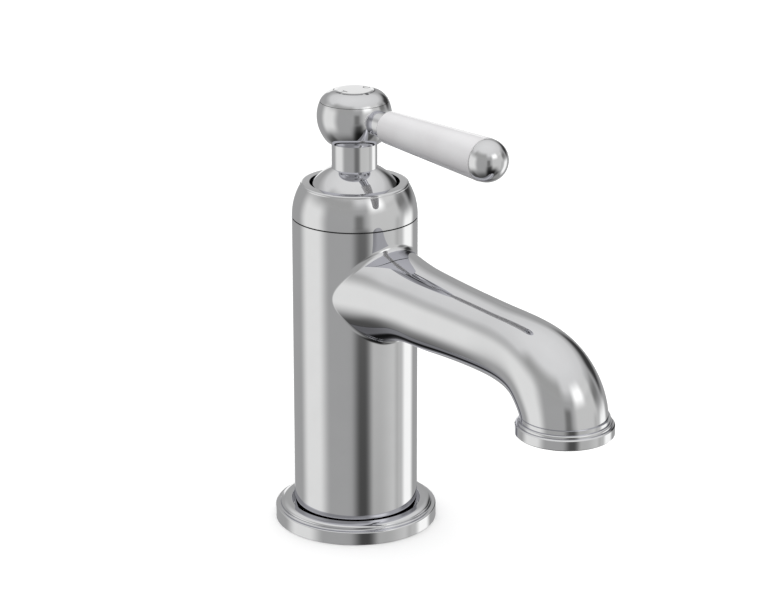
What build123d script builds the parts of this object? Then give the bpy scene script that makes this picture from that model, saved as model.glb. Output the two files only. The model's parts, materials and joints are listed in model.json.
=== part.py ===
from build123d import *
import math
import os

# Single-lever basin mixer, in millimetres.
# Origin: centre of the base's underside, on the deck. +Z is up, the spout points along -Y,
# hot is on the -X side and cold on the +X side.

# ---- body and base ----
BODY_R = 23.0              # outer radius of the column
BODY_WALL = 3.2            # wall of the column round the mixing chamber
SEAM_Z = 117.6             # joint between the body and the collar
SEAM_GAP = 0.12            # hairline left open between the ball and its cap
COLLAR_SEAM_GAP = 0.5      # height of the seal line between the body and the collar
BULKHEAD_H = 14.0          # solid foot of the casting that takes the threads
FLANGE_R = BODY_R + 7.1    # base flange, outer radius
FLANGE_WALL_H = 4.9        # height of the flange's outer wall
FLANGE_EDGE = 0.5          # rounding at the top of the outer wall
FLANGE_H = 6.9             # top of the flange's crown
FLANGE_STEP_R = BODY_R + 5.2   # foot of the rounded crown
FLANGE_STEP_Z = 5.7
FLANGE_COVE = 0.5          # hollow between the ledge and the crown
FLANGE_CROWN_R = BODY_R + 3.0  # outer edge of the flat crown
FLANGE_LIP_R = BODY_R + 1.3    # inner edge of the flat crown
FLANGE_LIP = 0.3
FLANGE_GROOVE_D = 2.4      # depth of the shadow groove next to the column
FLANGE_FIT = 0.1           # radial gap, flange to column
GASKET_IN_R = BODY_R + 2.0
GASKET_OUT_R = BODY_R + 5.0
GASKET_H = 2.2
GASKET_FIT = 0.05

# ---- supply and fixing threads in the foot ----
INLET_X = 7.0              # hot and cold inlets, either side of the centre
INLET_Y = 3.5
INLET_THREAD_R = 4.46      # M10 x 1 minor radius
INLET_THREAD_L = 12.0
SUPPLY_BORE_R = 3.4
SUPPLY_TUBE_R = 6.2
STUD_Y = -9.8
STUD_THREAD_R = 3.32       # M8 minor radius
STUD_THREAD_L = 11.0

# ---- cartridge seat and stack ----
CHAMBER_TOP_Z = 76.0       # ceiling of the mixing chamber
SEAT_Z = 86.0              # floor that the cartridge stands on
CART_R = 17.4              # cartridge housing, outer radius
CART_FIT = 0.1
MIX_PORT_Y = -8.2          # mixed-water port
MIX_PORT_R = 3.2
PORT_R = 2.6               # hot and cold ports through the discs
CART_BASE_H = 5.0
PEG_R = 1.5
PEG_L = 2.4
PEG_X = 12.0
PEG_Y = -9.0
SEAL_W = 1.3               # radial width of each port seal
SEAL_H = 1.4
SEAL_LAND = 0.6            # from a port's edge to its seal
DISC_H = 3.5
FIXED_DISC_R = 13.6
MOVING_DISC_R = 10.0
DISC_GAP = 0.02            # water film between the ceramic faces
CARRIER_H = 5.0
RAIL_X = 7.2               # guide rails of the disc carrier
RAIL_W = 1.2
RAIL_H = 1.2
RAIL_FIT = 0.15
HOUSING_BORE_R = 14.0
HOUSING_TOP_WALL = 1.5
ROTOR_R = 11.55
ROTOR_FIT = 0.05
ROTOR_FLANGE_R = 13.8
ROTOR_FLANGE_H = 1.6
ROTOR_GAP = 0.15
ROTOR_TOP_RISE = 3.2       # rotor's top above the tilt pivot
HOUSING_NECK_R = 14.2
HOUSING_NECK_DROP = 3.0    # housing's top below the tilt pivot
NUT_R = 19.0               # M38 cartridge nut
NUT_H = 6.6
NUT_FIT = 0.05
NUT_SLOTS = 6

# ---- joystick ----
PIVOT_Z = 118.8            # tilt pivot: centre of the dome
TILT_MAX = 20.0            # degrees
STEM_DROP = 17.8           # pivot to the ball end in the disc carrier
STEM_BALL_R = 2.6
STEM_BALL_FIT = 0.12
STEM_W = 8.0               # across the pivot eye, along the pin
STEM_FIT = 0.2
STEM_ARM_T = 4.2
STEM_EYE_R = 5.0
STEM_SQ = 9.0              # square that takes the handle
STEM_TOP_Z = 152.5
PIN_R = 2.0
PIN_FIT = 0.05

# ---- collar and dome ----
DOME_R = 19.2
DOME_WALL = 1.6
DOME_GAP = 1.0             # dome to the inside of the collar
DOME_LAP = 4.0             # degrees of dome left under the collar at full tilt
COLLAR_TOP_Z = 130.5
COLLAR_ARC_R = 22.5        # bell curve of the collar, upright at the seam
COLLAR_EDGE_R = 0.9
COLLAR_SPIGOT_H = 4.0
COLLAR_SPIGOT_IN_R = 20.1
COLLAR_SPIGOT_OUT_R = 21.4
COLLAR_FIT = 0.05
COLLAR_SEAL_INSET = 0.35   # seal set back from the column's surface

# ---- handle ----
NECK_R = 8.3
NECK_SPIGOT_R = 7.2
NECK_SPIGOT_FIT = 0.05
STEM_SQ_FIT = 0.1
BALL_R = 13.65
BALL_Z = 155.2
BALL_FOOT_Z = 145.7
BALL_SEAM_Z = 160.8
CAP_TOP_Z = 164.8
CAP_ARC_R = 7.0
CAP_SPIGOT_R = 9.4
CAP_SPIGOT_H = 2.5
CAP_FIT = 0.05
MARK_R = 7.4               # temperature mark on the cap
MARK_W = 0.45
MARK_D = 0.35
MARK_DOT_R = 0.8
MARK_LETTER_H = 2.8
MARK_LETTER_W = 3.1
MARK_LETTER_R = 5.6
SCREW_R = 2.5              # M5 grub screw at the back of the ball
SCREW_Z = 150.2
SCREW_L = 6.5
HEX_R = 1.45

# ---- lever ----
BOSS_R = 4.5               # chrome neck between ball and ceramic
BOSS_TENON_R = 3.0
BOSS_TENON_L = 5.0
ROOT_Y = 20.0              # the ceramic starts here
ROOT_R = 5.9
END_Y = 73.4               # the ceramic ends here
END_R = 7.75
ROOT_ROUND = 1.1
LEVER_BORE_R = 2.8
ROD_R = 2.4                # M5 tie rod through the ceramic
WASHER_T = 0.5
ROOT_WASHER_R = 4.3
CAP_WASHER_R = 7.2
END_CAP_R = 7.6
END_CAP_BAND = 0.25        # straight band under the end cap's dome
ROD_INTO_CAP = 4.5

# ---- spout ----
SPOUT_REACH = 116.8        # axis of the outlet
SPOUT_Z = 94.9             # height of the spout's axis where it leaves the body
# flared root: distance from the body's axis, height, half width, half height
SPOUT_ROOT = [(0.0, 92.2, 22.6, 20.6), (12.2, 92.6, 19.5, 18.8), (23.0, 93.1, 16.7, 17.1)]
# straight run: distance from the body's axis, height, radius
SPOUT_RUN = [
    (34.0, 93.45, 14.8), (46.0, 93.1, 14.0), (58.0, 93.0, 13.35), (71.0, 92.9, 12.85), (84.0, 92.55, 12.75),
]
# bend: distance back from the outlet's axis, height, radius, direction in degrees below level
SPOUT_BEND = [
    (21.2, 91.55, 13.3, 9.5), (12.1, 89.0, 14.15, 25.0), (5.0, 83.85, 14.85, 48.5), (0.8, 76.8, 15.0, 71.0),
]
OUTLET_R = 15.0            # tube radius at the outlet
OUTLET_Z = 70.2            # the bend points straight down from here
SPOUT_FILLET = 2.5         # where the spout meets the column
WATERWAY_R = 9.0           # round passage along the spout
WATERWAY_BEND_R = 22.0
THROAT_R = 4.0             # drilling from the mixing chamber up into the spout
OUTLET_NECK_R = 15.4
OUTLET_BEAD_R = 16.2
OUTLET_BEAD_H = 1.1
OUTLET_NECK_H = 1.5

# ---- aerator ----
AER_R = 17.0
AER_H = 3.9
AER_BOTTOM_Z = 69.0
AER_THREAD_R = 11.9        # M24 x 1
AER_THREAD_L = 6.0
AER_THREAD_FIT = 0.1
AER_BORE_R = 10.6
AER_MOUTH_R = 9.6
AER_MOUTH_H = 1.4
AER_EDGE = 0.4
AER_GASKET_H = 1.5
INSERT_FIT = 0.1
INSERT_H = 4.6
SCREEN_T = 0.3
SCREEN_R = 8.6
SCREEN_PITCH = 1.25
REGULATOR_R = 7.5
REGULATOR_H = 1.6

# ---- worked out from the sizes above ----
SEAT_R = CART_R + CART_FIT
CHAMBER_R = BODY_R - BODY_WALL
DISC_Z = SEAT_Z + CART_BASE_H
MOVING_Z = DISC_Z + DISC_H + DISC_GAP
CARRIER_Z = MOVING_Z + DISC_H
ROTOR_Z = CARRIER_Z + CARRIER_H + ROTOR_GAP
HOUSING_LEDGE_Z = ROTOR_Z + ROTOR_FLANGE_H + ROTOR_GAP
SHOULDER_Z = HOUSING_LEDGE_Z + HOUSING_TOP_WALL
HOUSING_TOP_Z = PIVOT_Z - HOUSING_NECK_DROP
STEM_BALL_Z = PIVOT_Z - STEM_DROP
DISC_TRAVEL = STEM_DROP * math.sin(math.radians(TILT_MAX))
DISC_Y = DISC_TRAVEL / 2
SPIGOT_FOOT_Z = SEAM_Z - COLLAR_SPIGOT_H
COLLAR_IN_R = DOME_R + DOME_GAP
COLLAR_MOUTH_R = math.sqrt(COLLAR_IN_R ** 2 - (COLLAR_TOP_Z - PIVOT_Z) ** 2)
DOME_RIM = math.degrees(math.asin(COLLAR_MOUTH_R / COLLAR_IN_R)) + TILT_MAX + DOME_LAP
CAP_R = math.sqrt(BALL_R ** 2 - (BALL_SEAM_Z - BALL_Z) ** 2)
BOSS_Y = math.sqrt(BALL_R ** 2 - BOSS_R ** 2)
OUTLET_FACE_Z = AER_BOTTOM_Z + AER_H
THREAD_TOP_Z = OUTLET_FACE_Z + AER_THREAD_L
BEND_Y = SPOUT_REACH - WATERWAY_BEND_R


def disc(radius, bottom, top, x=0.0, y=0.0):
    """Upright cylinder between two heights."""
    return Pos(x, y, (bottom + top) / 2) * Cylinder(radius, top - bottom)


def ring(outer, inner, bottom, top, x=0.0, y=0.0):
    """Upright tube between two heights."""
    return disc(outer, bottom, top, x, y) - disc(inner, bottom - 1, top + 1, x, y)


def block(width, depth, bottom, top, x=0.0, y=0.0):
    """Upright box centred on x, y."""
    return Pos(x, y, (bottom + top) / 2) * Box(width, depth, top - bottom)


def turned(*edges):
    """Solid of revolution about Z, from a closed outline in the XZ plane."""
    return revolve(make_face(Wire(list(edges))), Axis.Z)


def rod(radius, start, end, z):
    """Cylinder along -Y, from start to end, measured out from the body's axis."""
    return Pos(0, -(start + end) / 2, z) * Rot(90, 0, 0) * Cylinder(radius, end - start)


def at(r, z):
    """Point of an outline in the XZ plane."""
    return (r, 0, z)


def save(name, shape):
    shape.label = name
    export_step(shape, f"parts/{name}.step")


# ---- root: base, body and what is fixed in it ----

def base_flange():
    """Turned ring: outer wall, ledge, rounded crown, and a shadow groove next to the column."""
    soft = math.sqrt(0.5)
    bore = BODY_R + FLANGE_FIT
    groove_z = FLANGE_H - FLANGE_GROOVE_D
    groove_r = FLANGE_LIP_R - FLANGE_LIP
    shoulder_z = FLANGE_WALL_H - FLANGE_EDGE
    cove_r = FLANGE_STEP_R + FLANGE_COVE
    cove_z = FLANGE_WALL_H + FLANGE_COVE
    crown_w = FLANGE_STEP_R - FLANGE_CROWN_R
    crown_h = FLANGE_H - FLANGE_STEP_Z
    flange = turned(
        Line(at(bore, 0), at(FLANGE_R, 0)),
        Line(at(FLANGE_R, 0), at(FLANGE_R, shoulder_z)),
        ThreePointArc(
            at(FLANGE_R, shoulder_z),
            at(FLANGE_R - FLANGE_EDGE * (1 - soft), shoulder_z + FLANGE_EDGE * soft),
            at(FLANGE_R - FLANGE_EDGE, FLANGE_WALL_H),
        ),
        Line(at(FLANGE_R - FLANGE_EDGE, FLANGE_WALL_H), at(cove_r, FLANGE_WALL_H)),
        ThreePointArc(
            at(cove_r, FLANGE_WALL_H),
            at(cove_r - FLANGE_COVE * soft, cove_z - FLANGE_COVE * soft),
            at(FLANGE_STEP_R, cove_z),
        ),
        Line(at(FLANGE_STEP_R, cove_z), at(FLANGE_STEP_R, FLANGE_STEP_Z)),
        ThreePointArc(
            at(FLANGE_STEP_R, FLANGE_STEP_Z),
            at(FLANGE_CROWN_R + crown_w * soft, FLANGE_STEP_Z + crown_h * soft),
            at(FLANGE_CROWN_R, FLANGE_H),
        ),
        Line(at(FLANGE_CROWN_R, FLANGE_H), at(FLANGE_LIP_R, FLANGE_H)),
        ThreePointArc(
            at(FLANGE_LIP_R, FLANGE_H),
            at(FLANGE_LIP_R - FLANGE_LIP * soft, FLANGE_H - FLANGE_LIP * (1 - soft)),
            at(groove_r, FLANGE_H - FLANGE_LIP),
        ),
        Line(at(groove_r, FLANGE_H - FLANGE_LIP), at(groove_r, groove_z)),
        Line(at(groove_r, groove_z), at(bore, groove_z)),
        Line(at(bore, groove_z), at(bore, 0)),
    )
    return flange - ring(GASKET_OUT_R, GASKET_IN_R, -1, GASKET_H)


def base_gasket():
    return ring(GASKET_OUT_R - GASKET_FIT, GASKET_IN_R + GASKET_FIT, 0, GASKET_H - GASKET_FIT)


def spout_section(y, z, half_width, half_height, slope):
    """Outline across the spout's centreline; slope is 0 on the straight run, 90 at the outlet."""
    normal = (0, -math.cos(math.radians(slope)), -math.sin(math.radians(slope)))
    return Plane(origin=(0, -y, z), x_dir=(1, 0, 0), z_dir=normal) * Ellipse(half_width, half_height)


def spout_form():
    """Outside of the spout, from inside the column to the outlet."""
    sections = [spout_section(y, z, width, height, 0) for y, z, width, height in SPOUT_ROOT]
    sections += [spout_section(y, z, radius, radius, 0) for y, z, radius in SPOUT_RUN]
    for back, z, radius, slope in SPOUT_BEND:
        sections.append(spout_section(SPOUT_REACH - back, z, radius, radius, slope))
    sections.append(spout_section(SPOUT_REACH, OUTLET_Z, OUTLET_R, OUTLET_R, 90))
    return loft(sections)


def waterway():
    """Round passage of the spout: straight run, bend and the threaded outlet."""
    top = OUTLET_Z + WATERWAY_BEND_R
    passage = rod(WATERWAY_R, BODY_R + 4, BEND_Y, top)
    section = Plane(origin=(0, -BEND_Y, top), z_dir=(0, -1, 0)) * Circle(WATERWAY_R)
    passage += revolve(section, Axis((0, -BEND_Y, OUTLET_Z), (1, 0, 0)), 90)
    passage += disc(AER_THREAD_R + AER_THREAD_FIT, OUTLET_FACE_Z - 5, THREAD_TOP_Z, 0, -SPOUT_REACH)
    return passage


def body_casting():
    column = disc(BODY_R, 0, SEAM_Z)
    below_face = block(80, 80, 0, OUTLET_FACE_Z, 0, -SPOUT_REACH)
    spout = spout_form() - below_face
    shell = column + spout
    joint = [
        edge for edge in shell.edges()
        if edge.geom_type not in (GeomType.CIRCLE, GeomType.LINE)
        and edge.length > 2 * BODY_R
        and -edge.center().Y < BODY_R
    ]
    shell = fillet(joint, SPOUT_FILLET)
    neck_top = OUTLET_FACE_Z + OUTLET_BEAD_H + OUTLET_NECK_H
    shell += disc(OUTLET_NECK_R, OUTLET_FACE_Z, neck_top, 0, -SPOUT_REACH)
    bead = disc(OUTLET_BEAD_R, OUTLET_FACE_Z, OUTLET_FACE_Z + OUTLET_BEAD_H, 0, -SPOUT_REACH)
    shell += fillet(bead.edges().sort_by(Axis.Z)[-1:], OUTLET_BEAD_H / 2)

    hollow = disc(CHAMBER_R, BULKHEAD_H, CHAMBER_TOP_Z)
    for side in (-1, 1):
        hollow -= disc(SUPPLY_TUBE_R, BULKHEAD_H, CHAMBER_TOP_Z, side * INLET_X, INLET_Y)
    shell -= waterway()
    shell -= hollow

    shell -= disc(SEAT_R, SEAT_Z, SEAM_Z + 1)
    shell -= disc(NUT_R + NUT_FIT, SHOULDER_Z, SEAM_Z + 1)
    shell -= disc(COLLAR_SPIGOT_OUT_R + COLLAR_FIT, SPIGOT_FOOT_Z, SEAM_Z + 1)
    for side in (-1, 1):
        shell -= disc(SUPPLY_BORE_R, 0, SEAT_Z + 1, side * INLET_X, INLET_Y)
        shell -= disc(INLET_THREAD_R, -1, INLET_THREAD_L, side * INLET_X, INLET_Y)
        shell -= disc(PEG_R + CART_FIT, SEAT_Z - PEG_L - CART_FIT, SEAT_Z + 1, side * PEG_X, PEG_Y)
    shell -= disc(STUD_THREAD_R, -1, STUD_THREAD_L, 0, STUD_Y)
    shell -= disc(MIX_PORT_R, CHAMBER_TOP_Z - 1, SEAT_Z + 1, 0, MIX_PORT_Y)
    shell -= throat()
    return shell


def throat():
    """Slanted drilling from the mixing chamber, under the cartridge seat, up into the spout."""
    start = Vector(0, -(SEAT_R - 5.5), CHAMBER_TOP_Z - 2)
    end = Vector(0, -(BODY_R + 9), SPOUT_Z - 5)
    drill = Solid.make_cylinder(THROAT_R, (end - start).length, Plane(origin=start, z_dir=end - start))
    return drill


def collar():
    """Bell-shaped shroud: curved outside, a bowl round the dome inside, with a threaded spigot."""
    foot_z = SEAM_Z + COLLAR_SEAM_GAP
    drop = COLLAR_TOP_Z - COLLAR_EDGE_R - foot_z
    top_r = BODY_R - COLLAR_ARC_R + math.sqrt(COLLAR_ARC_R ** 2 - drop ** 2)
    middle_r = BODY_R - COLLAR_ARC_R + math.sqrt(COLLAR_ARC_R ** 2 - (drop / 2) ** 2)
    round_r = COLLAR_EDGE_R * (1 - math.sqrt(0.5))
    lip_r = COLLAR_MOUTH_R - 1
    outline = [
        Line(at(0, foot_z), at(BODY_R, foot_z)),
        ThreePointArc(
            at(BODY_R, foot_z), at(middle_r, foot_z + drop / 2), at(top_r, COLLAR_TOP_Z - COLLAR_EDGE_R)
        ),
        ThreePointArc(
            at(top_r, COLLAR_TOP_Z - COLLAR_EDGE_R),
            at(top_r - round_r, COLLAR_TOP_Z - round_r),
            at(top_r - COLLAR_EDGE_R, COLLAR_TOP_Z),
        ),
        Line(at(top_r - COLLAR_EDGE_R, COLLAR_TOP_Z), at(lip_r, COLLAR_TOP_Z)),
        Line(at(lip_r, COLLAR_TOP_Z), at(0, COLLAR_TOP_Z)),
        Line(at(0, COLLAR_TOP_Z), at(0, foot_z)),
    ]
    bell = turned(*outline) + disc(COLLAR_SPIGOT_OUT_R, SPIGOT_FOOT_Z, foot_z)
    bell -= Pos(0, 0, PIVOT_Z) * Sphere(COLLAR_IN_R)
    return bell - disc(COLLAR_SPIGOT_IN_R, SPIGOT_FOOT_Z - 1, PIVOT_Z)


def collar_seal():
    """Flat black ring clamped between the body and the collar."""
    inner = COLLAR_SPIGOT_OUT_R + COLLAR_FIT
    return ring(BODY_R - COLLAR_SEAL_INSET, inner, SEAM_Z, SEAM_Z + COLLAR_SEAM_GAP)


def port_places():
    """Centre and radius of the two supply ports and the mixed-water port."""
    return [
        (-INLET_X, INLET_Y, PORT_R),
        (INLET_X, INLET_Y, PORT_R),
        (0.0, MIX_PORT_Y, MIX_PORT_R),
    ]


def cartridge_base():
    base = disc(CART_R, SEAT_Z, DISC_Z)
    for x, y, radius in port_places():
        base -= disc(radius, SEAT_Z - 1, DISC_Z + 1, x, y)
        groove_in = radius + SEAL_LAND
        base -= ring(groove_in + SEAL_W, groove_in, SEAT_Z - 1, SEAT_Z + SEAL_H, x, y)
    for side in (-1, 1):
        base += disc(PEG_R, SEAT_Z - PEG_L, SEAT_Z + 1, side * PEG_X, PEG_Y)
    return base


def port_seals():
    seals = []
    for x, y, radius in port_places():
        groove_in = radius + SEAL_LAND
        seals.append(ring(groove_in + SEAL_W, groove_in, SEAT_Z, SEAT_Z + SEAL_H, x, y))
    return Compound(seals)


def fixed_disc():
    plate = disc(FIXED_DISC_R, DISC_Z, DISC_Z + DISC_H)
    for x, y, radius in port_places():
        plate -= disc(radius, DISC_Z - 1, DISC_Z + DISC_H + 1, x, y)
    return plate


def cartridge_housing():
    shell = disc(CART_R, DISC_Z, SHOULDER_Z)
    shell += disc(HOUSING_NECK_R, SHOULDER_Z, HOUSING_TOP_Z)
    shell -= disc(HOUSING_BORE_R, DISC_Z - 1, HOUSING_LEDGE_Z)
    return shell - disc(ROTOR_R + ROTOR_FIT, HOUSING_LEDGE_Z - 1, HOUSING_TOP_Z + 1)


def cartridge_nut():
    nut = ring(NUT_R, HOUSING_NECK_R + CART_FIT, SHOULDER_Z, SHOULDER_Z + NUT_H)
    slot_w = 3.0
    slot_d = 2.0
    for index in range(NUT_SLOTS):
        slot = block(4.0, slot_w, SHOULDER_Z + NUT_H - slot_d, SHOULDER_Z + NUT_H + 1, NUT_R, 0)
        nut -= Rot(0, 0, 360 / NUT_SLOTS * index) * slot
    return nut


# ---- cartridge: what turns, tilts and slides ----

def rotor():
    """Swivel of the cartridge: carries the tilt pin and guides the disc carrier."""
    top = PIVOT_Z + ROTOR_TOP_RISE
    barrel = disc(ROTOR_R, ROTOR_Z, top) + disc(ROTOR_FLANGE_R, ROTOR_Z, ROTOR_Z + ROTOR_FLANGE_H)
    sweep = STEM_DROP * math.sin(math.radians(TILT_MAX))
    front = sweep + STEM_BALL_R + STEM_FIT
    back = STEM_EYE_R + STEM_FIT + 1.2
    slot_w = STEM_W + 2 * STEM_FIT
    barrel -= block(slot_w, front + back, ROTOR_Z - 1, top + 1, 0, (back - front) / 2)
    barrel -= cross_pin(PIN_R, 4 * ROTOR_R)
    for side in (-1, 1):
        groove_w = RAIL_W + 2 * RAIL_FIT
        barrel -= block(groove_w, 4 * ROTOR_R, ROTOR_Z - 1, ROTOR_Z + RAIL_H, side * RAIL_X, 0)
    return barrel


def cross_pin(radius, length):
    """Cylinder along X through the tilt pivot."""
    return Pos(0, 0, PIVOT_Z) * Rot(0, 90, 0) * Cylinder(radius, length)


def pivot_pin():
    length = 2 * (ROTOR_R - ROTOR_FIT - 0.4)
    return cross_pin(PIN_R, length)


def moving_disc():
    """Ceramic slider: its pocket joins the supply ports to the mixed-water port when it is open."""
    plate = disc(MOVING_DISC_R, MOVING_Z, MOVING_Z + DISC_H, 0, DISC_Y)
    depth = DISC_H * 0.5
    plate -= block(6.4, 15.0, MOVING_Z - 1, MOVING_Z + depth, 0, DISC_Y + 0.5)
    return plate - block(13.2, 3.1, MOVING_Z - 1, MOVING_Z + depth, 0, DISC_Y + 5.2)


def disc_carrier():
    top = CARRIER_Z + CARRIER_H
    plate = disc(MOVING_DISC_R, CARRIER_Z, top, 0, DISC_Y)
    pocket = 2 * (STEM_BALL_R + STEM_BALL_FIT)
    floor = STEM_BALL_Z - STEM_BALL_R - STEM_BALL_FIT
    plate -= block(4 * MOVING_DISC_R, pocket, floor, top + 1)
    for side in (-1, 1):
        rail = block(RAIL_W, 1.2 * MOVING_DISC_R, top - 1, top + RAIL_H, side * RAIL_X, DISC_Y)
        plate += rail - block(4 * RAIL_W, pocket, top - 2, top + 2 * RAIL_H, side * RAIL_X, 0)
    return plate


def spindle():
    """Joystick: ball end, arm, pivot eye and the square that takes the handle."""
    eye = Pos(0, 0, PIVOT_Z) * Rot(0, 90, 0) * Cylinder(STEM_EYE_R, STEM_W)
    arm = block(STEM_W * 0.6, STEM_ARM_T, STEM_BALL_Z, PIVOT_Z)
    ball = Pos(0, 0, STEM_BALL_Z) * Sphere(STEM_BALL_R)
    neck = block(STEM_W, STEM_ARM_T * 1.6, PIVOT_Z, PIVOT_Z + ROTOR_TOP_RISE + 3)
    square = block(STEM_SQ, STEM_SQ, PIVOT_Z + ROTOR_TOP_RISE + 2, STEM_TOP_Z)
    stem = eye + arm + ball + neck + square
    return stem - cross_pin(PIN_R + PIN_FIT, 4 * STEM_W)


# ---- handle ----

def dome_shroud():
    """Thin spherical shell on the tilt pivot's centre, which fills the collar's mouth."""
    centre = Pos(0, 0, PIVOT_Z)
    shell = centre * Sphere(DOME_R) - centre * Sphere(DOME_R - DOME_WALL)
    rim_z = PIVOT_Z + DOME_R * math.cos(math.radians(DOME_RIM))
    shell -= block(4 * DOME_R, 4 * DOME_R, PIVOT_Z - 2 * DOME_R, rim_z)
    return shell - disc(NECK_SPIGOT_R + NECK_SPIGOT_FIT, PIVOT_Z, PIVOT_Z + 2 * DOME_R)


def square_socket(top):
    side = STEM_SQ + 2 * STEM_SQ_FIT
    return block(side, side, PIVOT_Z, top)


def neck_sleeve():
    """Tube between the dome and the ball, seated on the dome's curve."""
    tube = disc(NECK_R, PIVOT_Z + DOME_R * 0.8, BALL_FOOT_Z)
    tube -= Pos(0, 0, PIVOT_Z) * Sphere(DOME_R)
    tube += disc(NECK_SPIGOT_R, PIVOT_Z + DOME_R - DOME_WALL - 2.2, BALL_FOOT_Z)
    return tube - square_socket(BALL_FOOT_Z + 1)


def handle_ball():
    ball = Pos(0, 0, BALL_Z) * Sphere(BALL_R)
    ball -= block(4 * BALL_R, 4 * BALL_R, BALL_Z - 2 * BALL_R, BALL_FOOT_Z)
    ball -= block(4 * BALL_R, 4 * BALL_R, BALL_SEAM_Z - SEAM_GAP, BALL_Z + 2 * BALL_R)
    edge = ball.edges().sort_by(Axis.Z)[0]
    ball = fillet(edge, 0.4)
    ball -= square_socket(STEM_TOP_Z + 0.2)
    ball -= disc(CAP_SPIGOT_R + CAP_FIT, BALL_SEAM_Z - CAP_SPIGOT_H - CAP_FIT, BALL_Z + BALL_R)
    ball -= rod(BOSS_TENON_R, BOSS_Y - BOSS_TENON_L, BOSS_Y + 5, BALL_Z)
    ball -= rod(SCREW_R, -2 * BALL_R, -STEM_SQ / 2, SCREW_Z)
    return ball


def grub_screw():
    start = -(STEM_SQ / 2 + SCREW_L)
    screw = rod(SCREW_R, start, -STEM_SQ / 2, SCREW_Z)
    hexagon = extrude(RegularPolygon(HEX_R, 6), 3.0)
    return screw - Pos(0, -start + 0.01, SCREW_Z) * Rot(90, 0, 0) * hexagon


def cap_blank():
    """Low button on the ball: flat top, rounded shoulder that meets the ball at the seam."""
    rise = CAP_TOP_Z - BALL_SEAM_Z
    reach = math.sqrt(CAP_ARC_R ** 2 - (CAP_ARC_R - rise) ** 2)
    flat_r = CAP_R - reach
    half = math.atan2(reach, CAP_ARC_R - rise) / 2
    button = turned(
        Line(at(0, BALL_SEAM_Z), at(CAP_R, BALL_SEAM_Z)),
        ThreePointArc(
            at(CAP_R, BALL_SEAM_Z),
            at(flat_r + CAP_ARC_R * math.sin(half), CAP_TOP_Z - CAP_ARC_R * (1 - math.cos(half))),
            at(flat_r, CAP_TOP_Z),
        ),
        Line(at(flat_r, CAP_TOP_Z), at(0, CAP_TOP_Z)),
        Line(at(0, CAP_TOP_Z), at(0, BALL_SEAM_Z)),
    )
    return button + disc(CAP_SPIGOT_R, BALL_SEAM_Z - CAP_SPIGOT_H, BALL_SEAM_Z)


def sector(outer, inner, bottom, top, start, end):
    """Part of an upright tube; angles in degrees from the front, towards +X."""
    middle = (start + end) / 2
    tube = ring(outer, inner, bottom, top)
    wedge = extrude(
        make_face(
            Polyline(
                (0, 0),
                (40 * math.sin(math.radians(start)), -40 * math.cos(math.radians(start))),
                (60 * math.sin(math.radians(middle)), -60 * math.cos(math.radians(middle))),
                (40 * math.sin(math.radians(end)), -40 * math.cos(math.radians(end))),
                close=True,
            )
        ),
        200,
    )
    return tube & wedge


def mark_tools():
    """Cutters of the temperature mark: front arcs, a dot, and an H and a C for hot and cold."""
    bottom = CAP_TOP_Z - MARK_D
    top = CAP_TOP_Z + 1
    outer = MARK_R + MARK_W / 2
    inner = MARK_R - MARK_W / 2
    tools = []
    for side in (-1, 1):
        for start, end in ((12, 72), (126, 142)):
            first, last = sorted((side * start, side * end))
            tools.append(sector(outer, inner, bottom, top, first, last))
    tools.append(disc(MARK_DOT_R, bottom, top, 0, -MARK_R))
    half = MARK_LETTER_H / 2
    hot = block(MARK_LETTER_W, MARK_W, bottom, top, -MARK_LETTER_R, 0)
    for side in (-1, 1):
        hot += block(MARK_W, MARK_LETTER_H, bottom, top, -MARK_LETTER_R + side * MARK_LETTER_W / 2, 0)
    tools.append(hot)
    cold = ring(half, half - MARK_W, bottom, top, MARK_LETTER_R, 0)
    tools.append(cold - block(half, 1.3, bottom - 1, top + 1, MARK_LETTER_R + half, 0))
    return tools


def index_cap():
    cap = cap_blank()
    for tool in mark_tools():
        cap -= tool
    return cap


def index_marks():
    blank = cap_blank()
    pieces = []
    for tool in mark_tools():
        pieces.extend((blank & tool).solids())
    return Compound(pieces)


# ---- lever ----

def lever_boss():
    boss = rod(BOSS_R, BOSS_Y - 3, ROOT_Y - WASHER_T, BALL_Z)
    boss -= Pos(0, 0, BALL_Z) * Sphere(BALL_R)
    boss += rod(BOSS_TENON_R, BOSS_Y - BOSS_TENON_L, ROOT_Y - WASHER_T, BALL_Z)
    return boss - rod(ROD_R, BOSS_Y - BOSS_TENON_L, ROOT_Y + 1, BALL_Z)


def lever_rod():
    return rod(ROD_R, BOSS_Y - BOSS_TENON_L, END_Y + WASHER_T + ROD_INTO_CAP, BALL_Z)


def root_washer():
    return rod(ROOT_WASHER_R, ROOT_Y - WASHER_T, ROOT_Y, BALL_Z) - rod(
        LEVER_BORE_R, ROOT_Y - 1, ROOT_Y + 1, BALL_Z
    )


def along(r, y):
    """Point of a lever outline, at a radius and a distance out from the body's axis."""
    return (r, -y, BALL_Z)


def lever_axis():
    return Axis((0, 0, BALL_Z), (0, -1, 0))


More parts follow.
